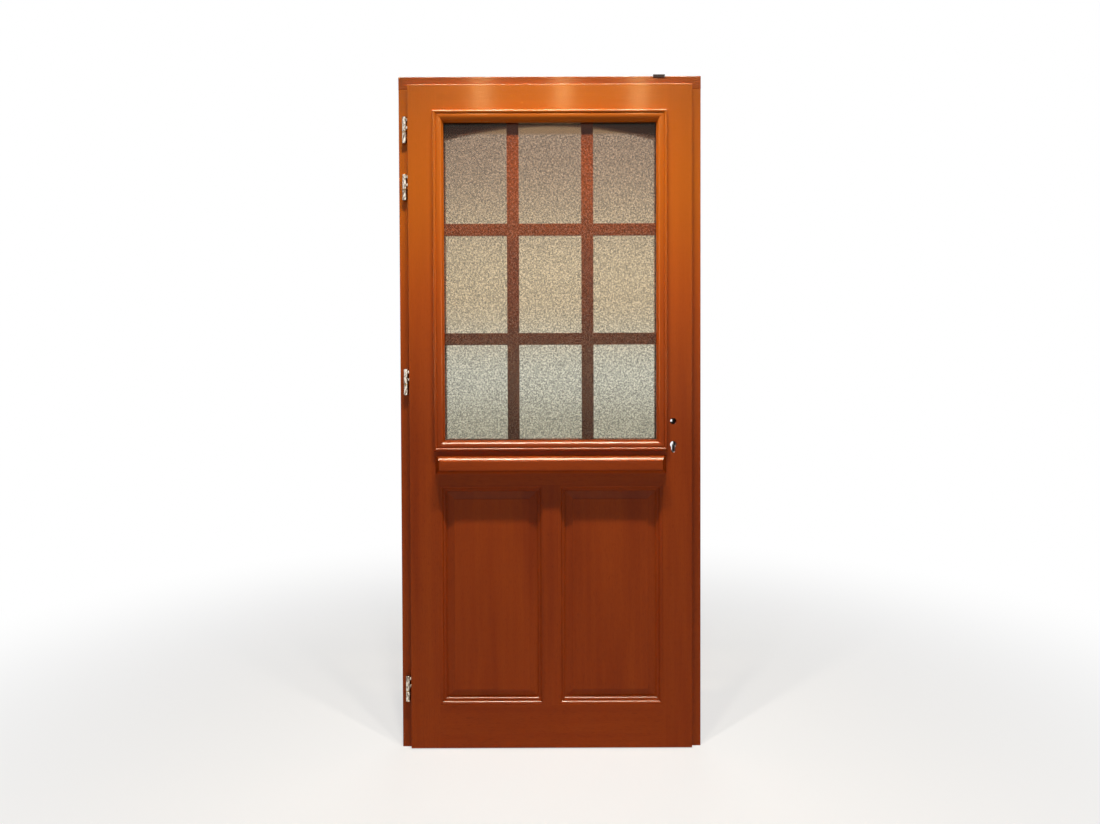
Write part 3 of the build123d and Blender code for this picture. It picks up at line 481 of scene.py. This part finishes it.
def soft_lamp(name, place, target, size, watts, colour):
    thing = lamp(name, "AREA", place, target, watts, colour, shape="SQUARE", size=size)
    thing.visible_transmission = False


def downlight(name, place, watts):
    below = (place[0], place[1], 0.0)
    settings = {"spot_size": SPOT_ANGLE, "spot_blend": 1.0, "shadow_soft_size": SPOT_RADIUS}
    lamp(name, "SPOT", place, below, watts, SPOT_COLOUR, **settings)


def gleam(name, place, target, width, height, radiance, colour):
    """A lamp met only by reflections, so it gives the varnish its highlights."""
    watts = radiance * math.pi * width * height
    settings = {"shape": "RECTANGLE", "size": width, "size_y": height}
    thing = lamp(name, "AREA", place, target, watts, colour, **settings)
    thing.visible_camera = thing.visible_diffuse = thing.visible_transmission = False
    thing.light_linking.receiver_collection = varnished


for number, (across, watts) in enumerate(SPOTS):
    downlight(f"downlight_{number}", (across, SPOT_OUT, SPOT_HEIGHT), watts)
    place = (STREAK_OUTWARD * across, SPOT_OUT, STREAK_HEIGHT)
    aim = (across, 0.0, STREAK_AIM)
    gleam(f"gleam_{number}", place, aim, *STREAK_SIZE, STREAK_RADIANCE, STREAK_COLOUR)
gleam("gleam_above", (0.0, -0.85, 3.0), (0.0, -0.85, 0.0), 3.0, 1.3, 112.0, (0.86, 1.0, 0.76))
for name, x in (("gleam_left", -SIDE_X), ("gleam_right", SIDE_X)):
    gleam(name, (x, -0.7, 1.8), (0.0, 0.0, 1.8), 0.5, 1.6, 26.0, SIDE_COLOUR)
soft_lamp("front_fill", (0.3, -4.5, 2.2), (0.0, 0.0, 0.9), 3.2, 20.0, (1.0, 0.97, 0.93))
soft_lamp("back_fill", (0.4, 4.0, 2.6), (0.0, 0.0, 1.0), 2.6, 70.0, (1.0, 0.98, 0.95))


# Camera

PHOTO_WIDTH = 1100
SENSOR_WIDTH = 36.0
LENS = 24.733
PHOTO_SHIFT = -31.6
CAMERA_PLACE = (-0.0018, -2.4, 1.20)
PITCH = math.radians(1.09)
ROLL = math.radians(-0.203)

camera_data = bpy.data.cameras.new("camera")
camera_data.sensor_fit = "HORIZONTAL"
camera_data.sensor_width = SENSOR_WIDTH
camera_data.lens = LENS
camera_data.shift_y = PHOTO_SHIFT / PHOTO_WIDTH
camera_data.clip_start = 0.05
camera_data.clip_end = 200.0
camera = bpy.data.objects.new("camera", camera_data)
bpy.context.scene.collection.objects.link(camera)
camera.location = CAMERA_PLACE
level = math.radians(90.0)
looking = Matrix.Rotation(level - PITCH, 4, "X") @ Matrix.Rotation(ROLL, 4, "Z")
camera.rotation_euler = looking.to_euler()
bpy.context.scene.camera = camera
bpy.context.scene.view_settings.view_transform = "Standard"
